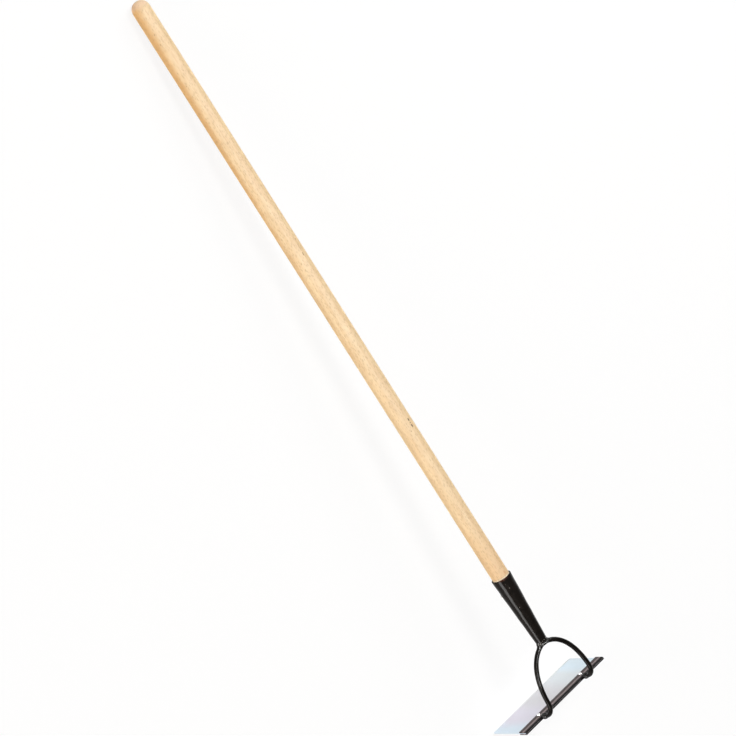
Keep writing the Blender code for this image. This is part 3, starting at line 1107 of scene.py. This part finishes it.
@dataclass
class SocketWelds(Part):
    """The beads between the socket's lower rim and the rod, and the fillets at its sides."""

    socket: Socket
    bow: Bow
    bead_radius: float = 0.0035
    proud: float = 0.0014
    drop: float = 0.0018
    reach: float = 84.0
    pitch: float = 0.0023
    relief: float = 0.00050
    bulge: float = 0.0012
    taper: float = 0.14
    tip_size: float = 0.15
    points: int = 170
    sides: int = 36
    fillet_up: float = 0.0085
    fillet_out: float = 0.0115
    fillet_low: float = 0.002
    fillet_width: float = 0.97
    lift: float = 0.00008
    depth: float = 0.0012
    rows: int = 13
    columns: int = 14

    def bead(self, middle: float) -> Skin:
        """Makes one bead round the socket's rim.

        Args:
            middle: Angle of its middle, in degrees.

        Returns:
            The bead's skin.
        """
        ring = self.socket.base_radius + self.proud - self.bead_radius
        height = self.socket.base_height - self.drop
        path = [Vector((x, y, height)) for x, y in
                arc((0.0, 0.0), ring, middle - self.reach, middle + self.reach, self.points)]
        whole = sum((second - first).length for first, second in pairwise(path))

        def radius_at(distance: float, angle: float) -> float:
            """Works out the bead's radius, with its ripples and its tapered ends.

            Args:
                distance: Distance along the bead.
                angle: Angle round it.

            Returns:
                The radius.
            """
            past = max(0.0, (abs(2 * distance / whole - 1) - (1 - self.taper)) / self.taper)
            end = math.sqrt(max(0.0, 1 - past ** 2)) * (1 - self.tip_size) + self.tip_size
            crest = ripple(distance + self.bulge * math.sin(angle) ** 2, self.pitch)
            return (self.bead_radius + self.relief * (crest - RIPPLE_MEAN)) * end

        return swept(path, self.sides, radius_at)

    def fillet(self, side: int) -> Skin:
        """Makes the saddle of weld in the corner between the socket's side and the rod's arm.

        Args:
            side: 1 for the right arm and -1 for the left.

        Returns:
            The saddle's skin.
        """
        base = self.socket.base_radius
        path = [point for point in self.bow.path(self.bow.foot_reach)
                if point.x >= 0 and point.y < TINY]
        foot = min(path, key=lambda point: abs(point.x - base))
        rings = []
        for row in range(self.rows):
            lean = 2 * row / (self.rows - 1) - 1
            sideways = self.bow.rod_radius * self.fillet_width * lean
            top = math.sqrt(self.bow.rod_radius ** 2 - sideways ** 2) + self.lift
            share = 1 - 0.55 * abs(lean) ** 2.5
            height = self.fillet_low + self.fillet_up * share
            wall = math.sqrt(self.socket.radius(height) ** 2 - sideways ** 2) + self.lift
            out = base + self.fillet_out * share
            arm = min(path, key=lambda point: abs(point.x - out))
            slope = Vector((arm.z - foot.z, 0, foot.x - arm.x)).normalized()
            start = Vector((wall, sideways, height))
            corner = Vector((base + 0.0003, sideways, foot.z + top * 0.9))
            end = Vector((arm.x, sideways, arm.z)) - slope * top
            column = list(interpolate_bezier(start, start.lerp(corner, 0.75), end.lerp(corner, 0.75),
                                             end, self.columns))
            column += [end + slope * self.depth,
                       Vector((base - 0.0015, sideways, foot.z + top * 0.3)),
                       start - Vector((self.depth, 0, 0.0))]
            rings.append([Vector((point.x * side, point.y, point.z)) for point in column])
        return loft(rings)

    def build(self) -> None:
        """Makes and dresses the beads, each with one side's fillet."""
        # The seam's light grey dots in this paint are painted highlights.
        paint = PaintFinish("weld_black_paint", (0.0050, 0.0045, 0.0040), (0.020, 0.018, 0.016),
                            roughness=0.16, specular=0.25, peel_scale=400.0, peel_depth=0.000015,
                            marks=SEAM_PAINTED_GLINTS)
        for name, middle, side in (("front", -90.0, -1), ("back", 90.0, 1)):
            skin = combine(self.bead(middle), self.fillet(side), Boolean.FUSE)
            self.shop.piece(f"socket_weld_bead_{name}", skin, paint, f"socket_weld_{name}",
                            "weld_paint", WELD_ANGLE)


@dataclass
class BladeHolder(Part):
    """The folded sheet that grips the blade, and the frame that lies along the blade."""

    length: float = 0.214
    width: float = 0.0211
    sheet: float = 0.0019
    thickness: float = 0.0056
    angle: float = math.radians(88.0)
    back: Point = (0.0, 0.028, -0.1105)
    edge_radius: float = 0.00045
    end_rounding: float = 0.0002
    rivet_spacing: float = 0.116
    rivet_place: float = 0.0156
    rivet_press: float = 0.00012
    press_radius: float = 0.0065
    waviness: float = 0.00005
    face_rows: tuple[float, ...] = (0.8, 0.6, 0.4)
    stations: int = 216
    fold_steps: int = 24

    def along(self) -> Vector:
        """Returns the direction from the fold to the blade's edge."""
        return Vector((0, math.sin(self.angle), math.cos(self.angle)))

    def normal(self) -> Vector:
        """Returns the direction out of the holder's upper face."""
        return Vector((0, -math.cos(self.angle), math.sin(self.angle)))

    def point(self, across: float, along: float, up: float) -> Vector:
        """Returns the point at a place across, along and above the blade's middle plane."""
        return Vector(self.back) + Vector((across, 0, 0)) + self.along() * along + self.normal() * up

    def outline(self) -> list[tuple[float, float]]:
        """Makes the section of the folded sheet.

        Returns:
            Its points as (along, up) pairs.
        """
        outer = self.thickness / 2
        inner = outer - self.sheet
        soft = self.edge_radius
        rim = self.width - soft
        points = [(self.width * share, outer) for share in self.face_rows]
        points += arc((outer, 0.0), outer, 90, 270, self.fold_steps)
        points += [(self.width * share, -outer) for share in reversed(self.face_rows)]
        lower, upper = [arc((rim, low + soft), soft, 270, 360, 3) + arc((rim, high - soft), soft, 0, 90, 3)
                        for low, high in ((-outer, -inner), (inner, outer))]
        return points + lower + arc((outer, 0.0), inner, 270, 90, self.fold_steps // 2) + upper

    def skin(self) -> Skin:
        """Makes the folded sheet, pressed in a little round the rivets.

        Returns:
            The sheet's skin.
        """
        outline = self.outline()
        face = self.thickness * 0.45
        rings = []
        for station in range(self.stations + 1):
            across = self.length * (station / self.stations - 0.5)
            ring = []
            for along, up in outline:
                sag = self.press(across, along) if abs(up) > face else 0.0
                ring.append(self.point(across, along, up - math.copysign(sag, up)))
            rings.append(ring)
        skin = loft(rings)
        soften_edges(skin, self.end_rounding, 60.0)
        return skin

    def press(self, across: float, along: float) -> float:
        """Works out how far the sheet is pressed in by the rivets and by its own folding.

        Args:
            across: Place across the blade.
            along: Distance from the fold.

        Returns:
            The depth.
        """
        depth = self.waviness * (1 + math.sin(across * 140 + along * 90))
        for side in (-1, 1):
            away = math.hypot(across - side * self.rivet_spacing / 2, along - self.rivet_place)
            depth += self.rivet_press * math.exp(-((away / self.press_radius) ** 2))
        return depth

    def build(self) -> None:
        """Makes and dresses the holder."""
        way = tuple(self.along())
        fold = Vector(self.back).dot(self.along())
        # A lighter brownish strip along the middle of the upper face: a painted reflection.
        painted_gleam = Band(way, fold + 0.0052, fold + 0.0078, (0.250, 0.195, 0.205), 0.0010, 90.0)
        # A dim brownish tint over the face's outer part, towards the blade: painted reflection.
        face = Band(way, fold + 0.0095, fold + 0.0130, (0.055, 0.040, 0.043), 0.0016, 90.0)
        paint = PaintFinish("holder_black_paint", (0.0040, 0.0030, 0.0030), (0.020, 0.012, 0.012),
                            roughness=0.14, specular=0.07, peel_depth=0.000015, marks=(painted_gleam, face))
        self.shop.piece("folded_blade_holder", self.skin(), paint, "blade_holder", "holder_paint")


@dataclass
class FootWelds(Part):
    """The weld round the end of each foot, lapping on to the holder's upper face."""

    holder: BladeHolder
    bow: Bow
    beside: float = 0.0022
    length: float = 0.007
    above: float = 0.0014
    toe_place: float = 0.0042
    toe_reach: float = 0.0062
    toe_width: float = 0.0052
    toe_height: float = 0.0013
    pitch: float = 0.0026
    relief: float = 0.00055
    steps: int = 72

    def blob(self, centre: Vector, size: Vector) -> Skin:
        """Makes a rippled ellipsoid in the holder's frame.

        Args:
            centre: Its middle as (across, along, up).
            size: Its half sizes the same way.

        Returns:
            The skin, with its coordinates as (across, along, up).
        """
        rings = []
        rows = self.steps // 2
        for row in range(rows + 1):
            polar = math.pi * row / rows
            ring = []
            for step in range(self.steps):
                turn = 2 * math.pi * step / self.steps
                way = Vector((math.sin(polar) * math.cos(turn), math.cos(polar),
                              math.sin(polar) * math.sin(turn)))
                place = way * size
                crest = ripple(place.y + 0.11 * abs(place.x) ** 1.4 / 0.012 ** 0.4 + 0.02, self.pitch)
                stand = self.relief * math.sin(polar) * (crest - RIPPLE_MEAN)
                ring.append(centre + place + way * stand)
            rings.append(ring)
        return loft(rings)

    def build(self) -> None:
        """Makes and dresses both welds."""
        holder = self.holder
        half = self.bow.foot_spacing / 2
        # Light grey crescents on the holder's face beside each foot: painted highlights of the weld
        # spatter.
        painted_glints = tuple(
            Spot(tuple(holder.point(side * half + across, along, 0.0035)), (wide, 0.0012, long),
                 (0.42, 0.41, 0.40), 0.5, 0.8)
            for side in (-1, 1)
            for across, along, wide, long in ((0.0010, 0.0036, 0.0016, 0.0008),
                                              (-0.0024, 0.0062, 0.0012, 0.0010),
                                              (0.0030, 0.0078, 0.0010, 0.0010))
        )
        paint = PaintFinish("foot_weld_thin_paint", (0.0060, 0.0055, 0.0050), (0.030, 0.028, 0.026),
                            roughness=0.16, specular=0.22, peel_scale=400.0, peel_depth=0.000015,
                            marks=painted_glints)
        rod = self.bow.rod_radius
        size = Vector((rod + self.beside, self.length, rod + self.above))
        toe_size = Vector((self.toe_width, self.toe_reach, self.toe_height * 2))
        to_tool = framed(holder.back, Vector((1, 0, 0)), holder.along(), holder.normal())
        for side, across in (("left", -half), ("right", half)):
            toe = Vector((across, self.toe_place, holder.thickness / 2 - self.toe_height))
            body = self.blob(Vector((across, 0, 0)), size)
            skin = combine(body, self.blob(toe, toe_size), Boolean.FUSE)
            skin.transform(to_tool)
            self.shop.piece(f"foot_weld_bead_{side}", skin, paint, f"foot_weld_{side}",
                            "weld_paint", WELD_ANGLE)


@dataclass
class Blade(Part):
    """The flat polished plate, with round corners and an edge ground on its outer face."""

    holder: BladeHolder
    length: float = 0.214
    thickness: float = 0.0012
    start: float = 0.0031
    end: float = 0.0961
    corner: float = 0.005
    grind: float = 0.006
    edge: float = 0.0004
    rounding: float = 0.00012
    corner_steps: int = 10

    def skin(self) -> Skin:
        """Makes the blade.

        Returns:
            The blade's skin.
        """
        half = self.length / 2
        upper = self.thickness / 2
        grind_start = self.end - self.grind
        stations = [(self.start, half), (grind_start, half)]
        for step in range(self.corner_steps + 1):
            angle = math.pi / 2 * step / self.corner_steps
            inset = self.corner * (1 - math.cos(angle))
            stations.append((self.end - self.corner * (1 - math.sin(angle)), half - inset))
        rings = []
        for along, reach in stations:
            ground = max(0.0, along - grind_start) / self.grind
            lower = -upper + (self.thickness - self.edge) * ground
            corners = ((-reach, upper), (reach, upper), (reach, lower), (-reach, lower))
            rings.append([self.holder.point(across, along, up) for across, up in corners])
        skin = loft(rings)
        soften_edges(skin, self.rounding, 45.0)
        return skin

    def build(self) -> None:
        """Makes and dresses the blade. Soft bands of colour lie one after another along it."""
        stretches = (
            (-0.100, -0.064, (0.690, 0.668, 0.748)),
            (-0.052, -0.014, (0.632, 0.628, 0.655)),
            (0.010, 0.052, (0.665, 0.712, 0.740)),
            (0.058, 0.086, (0.640, 0.762, 0.840)),
        )
        soft = [Band((1.0, 0.0, 0.0), start, end, colour, 0.02, 18.0)
                for start, end, colour in stretches]
        edge = Band((0.0, 0.9994, 0.0349), 0.1165, 0.1205, (0.900, 0.920, 0.940), 0.0, 30.0, 0.6)
        steel = SteelFinish("blade_steel", (0.660, 0.760, 0.845), (0.70, 0.71, 0.74), 0.16, 0.000003,
                            (0.03, 1.0, 1.0), bands=(*soft, edge))
        self.shop.piece("polished_blade", self.skin(), steel, "blade", "polished_steel")


@dataclass
class Rivets(Part):
    """The two round-headed rivets through the holder and the blade."""

    holder: BladeHolder
    shank: float = 0.0023
    head: float = 0.0033
    head_height: float = 0.0016
    seat_gap: float = 0.00002
    undercut: float = 0.00008
    rim: float = 0.00022
    bluntness: float = 2.9
    flats: float = 0.00012
    steps: int = 48

    def skin(self, across: float) -> Skin:
        """Makes one rivet.

        Args:
            across: Its place across the blade.

        Returns:
            The rivet's skin.
        """
        holder = self.holder
        seat = holder.thickness / 2 + self.seat_gap
        upper = domed(self.head, seat, self.head_height, 12, self.bluntness)[:-1]
        upper += [(self.head, seat + self.rim), (self.head - self.undercut, seat)]
        lower = [(radius, -height) for radius, height in reversed(upper)]
        profile = upper + [(self.shank, seat), (self.shank, -seat)] + lower

        def hammered(angle: float, height: float) -> float:
            """Returns the small flats that setting the rivet leaves on its heads."""
            return self.flats * math.sin(3 * angle + 40 * across) * (abs(height) > seat + 0.0001)

        skin = turned(profile, self.steps, swell=hammered)
        place = holder.point(across, holder.rivet_place, 0.0)
        skin.transform(framed(place, Vector((1, 0, 0)), -holder.along(), holder.normal()))
        return skin

    def build(self) -> None:
        """Makes and dresses both rivets."""
        steel = SteelFinish("rivet_bright_steel", (0.92, 0.92, 0.92), (0.60, 0.59, 0.58), 0.12,
                            0.000008, wear=0.25)
        half = self.holder.rivet_spacing / 2
        for side, across in (("left", -half), ("right", half)):
            self.shop.piece(f"blade_rivet_{side}", self.skin(across), steel, f"rivet_{side}",
                            "rivet_steel")


@dataclass(frozen=True)
class SoftBox:
    """A soft lamp. One for gloss alone shows in reflections and adds no other light."""

    name: str
    place: Point
    target: Point
    size: tuple[float, float]
    power: float
    colour: Colour = (1.0, 1.0, 1.0)
    gloss_alone: bool = False

    def build(self) -> None:
        """Hangs the lamp and turns it to its target."""
        light = bpy.data.lights.new(self.name, "AREA")
        light.shape = "RECTANGLE"
        light.size, light.size_y = self.size
        light.energy = self.power
        light.color = self.colour
        obj = placed(self.name, light)
        turn = (Vector(self.target) - Vector(self.place)).to_track_quat("-Z", "Y")
        obj.matrix_world = Matrix.Translation(self.place) @ turn.to_matrix().to_4x4()
        obj.visible_camera = False
        obj.visible_diffuse = not self.gloss_alone


@dataclass
class Studio:
    """The pale floor, the soft lights and the sky over them."""

    floor_size: float = 60.0
    floor_glow: float = 0.86
    floor_weak: Colour = (0.14, 0.14, 0.14)
    floor_plain: Colour = (0.62, 0.58, 0.53)
    horizon: Colour = (0.62, 0.62, 0.62)
    zenith: Colour = (0.20, 0.20, 0.20)
    lamps: tuple[SoftBox, ...] = (
        SoftBox("key_soft_box", (1.6, 2.6, 6.0), (0.0, 0.0, 0.05), (2.4, 2.4), 206.0, (1.0, 0.99, 0.97)),
        SoftBox("right_fill", (4.0, 2.0, 3.0), (0.0, 0.0, 0.05), (2.4, 2.4), 94.0, (1.0, 0.98, 0.96)),
        SoftBox("warm_fill", (-5.2, 1.4, 1.0), (0.0, -0.1, 0.05), (2.4, 2.4), 158.0, (1.0, 0.92, 0.82)),
        SoftBox("low_fill", (-1.8, -3.2, 2.2), (0.0, -0.4, 0.05), (1.8, 1.8), 27.0, (1.0, 0.95, 0.88)),
        SoftBox("socket_gloss", (-2.2, -1.0, 0.62), (0.0, -0.55, 0.1), (2.6, 1.0), 115.0, gloss_alone=True),
        SoftBox("arm_gloss", (-1.4, -0.22, 3.8), (0.0, -0.62, 0.1), (1.2, 0.8), 300.0, gloss_alone=True),
        SoftBox("crown_gloss", (0.25, 0.32, 3.9), (0.0, -0.62, 0.1), (1.7, 0.6), 250.0, gloss_alone=True),
        SoftBox("fold_gloss", (2.0, -0.15, 3.4), (0.0, -0.7, 0.1), (1.2, 0.7), 135.0, gloss_alone=True),
    )

    def floor(self) -> None:
        """Lays the floor."""
        work = bmesh.new()
        bmesh.ops.create_grid(work, x_segments=1, y_segments=1, size=self.floor_size / 2)
        mesh = meshed("studio_floor", work)
        mesh.materials.append(self.floor_material())
        obj = placed("studio_floor", mesh)

    def floor_material(self) -> bpy.types.Material:
        """Makes a floor that looks almost white but keeps a faint shadow.

        Returns:
            The material.
        """
        material = bpy.data.materials.new("pale_floor")
        material.use_nodes = True
        sheet = NodeSheet(material.node_tree)
        sheet.tree.nodes.clear()
        path = sheet.add("ShaderNodeLightPath").outputs
        seen = sheet.math("MAXIMUM", path["Is Camera Ray"], path["Is Glossy Ray"])
        seen = sheet.math("MAXIMUM", seen, path["Is Transmission Ray"])
        plain = sheet.add("ShaderNodeBsdfDiffuse", {"Color": self.floor_plain})
        weak = sheet.add("ShaderNodeBsdfDiffuse", {"Color": self.floor_weak})
        glow = sheet.add("ShaderNodeEmission", {"Strength": self.floor_glow})
        both = sheet.add("ShaderNodeAddShader", {0: weak.outputs[0], 1: glow.outputs[0]})
        mixed = sheet.add("ShaderNodeMixShader", {0: seen, 1: plain.outputs[0], 2: both.outputs[0]})
        sheet.add("ShaderNodeOutputMaterial", {"Surface": mixed.outputs[0]})
        return material

    def sky(self) -> None:
        """Makes a soft sky, brighter at the horizon than overhead."""
        world = bpy.data.worlds.new("studio_sky")
        bpy.context.scene.world = world
        world.use_nodes = True
        sheet = NodeSheet(world.node_tree)
        up = sheet.add("ShaderNodeTexCoord").outputs["Generated"]
        height = sheet.add("ShaderNodeSeparateXYZ", {0: up}).outputs["Z"]
        background = sheet.tree.nodes["Background"].inputs
        sheet.put(background["Color"], sheet.mix(sheet.step(height, -0.1, 0.75), self.horizon, self.zenith))
        sheet.put(background["Strength"], 1.0)

    def build(self) -> None:
        """Sets up the floor, the sky and the lamps."""
        self.floor()
        self.sky()
        for lamp in self.lamps:
            lamp.build()


@dataclass
class PhotoCamera:
    """The camera, where the photograph was taken from."""

    place: Point = (-3.0324, 1.7725, 4.7579)
    backward: Point = (-0.517211, 0.305006, 0.799665)
    upward: Point = (0.562019, 0.825697, 0.048570)
    lens: float = 171.77
    sensor: float = 36.0

    def build(self) -> None:
        """Makes the camera and gives it to the scene."""
        data = bpy.data.cameras.new("photo_camera")
        data.lens = self.lens
        data.sensor_width = self.sensor
        data.sensor_fit = "HORIZONTAL"
        camera = placed("photo_camera", data)
        backward = Vector(self.backward).normalized()
        right = Vector(self.upward).cross(backward).normalized()
        camera.matrix_world = framed(self.place, right, backward.cross(right), backward)
        bpy.context.scene.camera = camera


class GardenHoe:
    """The whole tool."""

    def __init__(self, shop: Workshop) -> None:
        """Lists the sub-assemblies, from the handle to the blade.

        Args:
            shop: The workshop that makes their pieces.
        """
        bow = Bow(shop)
        socket = Socket(shop, bow)
        holder = BladeHolder(shop)
        self.parts = (Handle(shop, socket), socket, Nail(shop, socket), bow,
                      SocketWelds(shop, socket, bow), holder, FootWelds(shop, holder, bow),
                      Blade(shop, holder), Rivets(shop, holder))

    def build(self) -> None:
        """Builds every piece in order."""
        for part in self.parts:
            part.build()


def main() -> None:
    """Builds the hoe, the studio and the camera in order."""
    logging.basicConfig(level=logging.INFO, format="%(name)s: %(message)s")
    LOG.info("frame has %d nodes", len(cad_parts))
    bpy.context.scene.view_settings.view_transform = "Standard"
    GardenHoe(Workshop()).build()
    Studio().build()
    PhotoCamera().build()


if __name__ == "__main__":
    main()
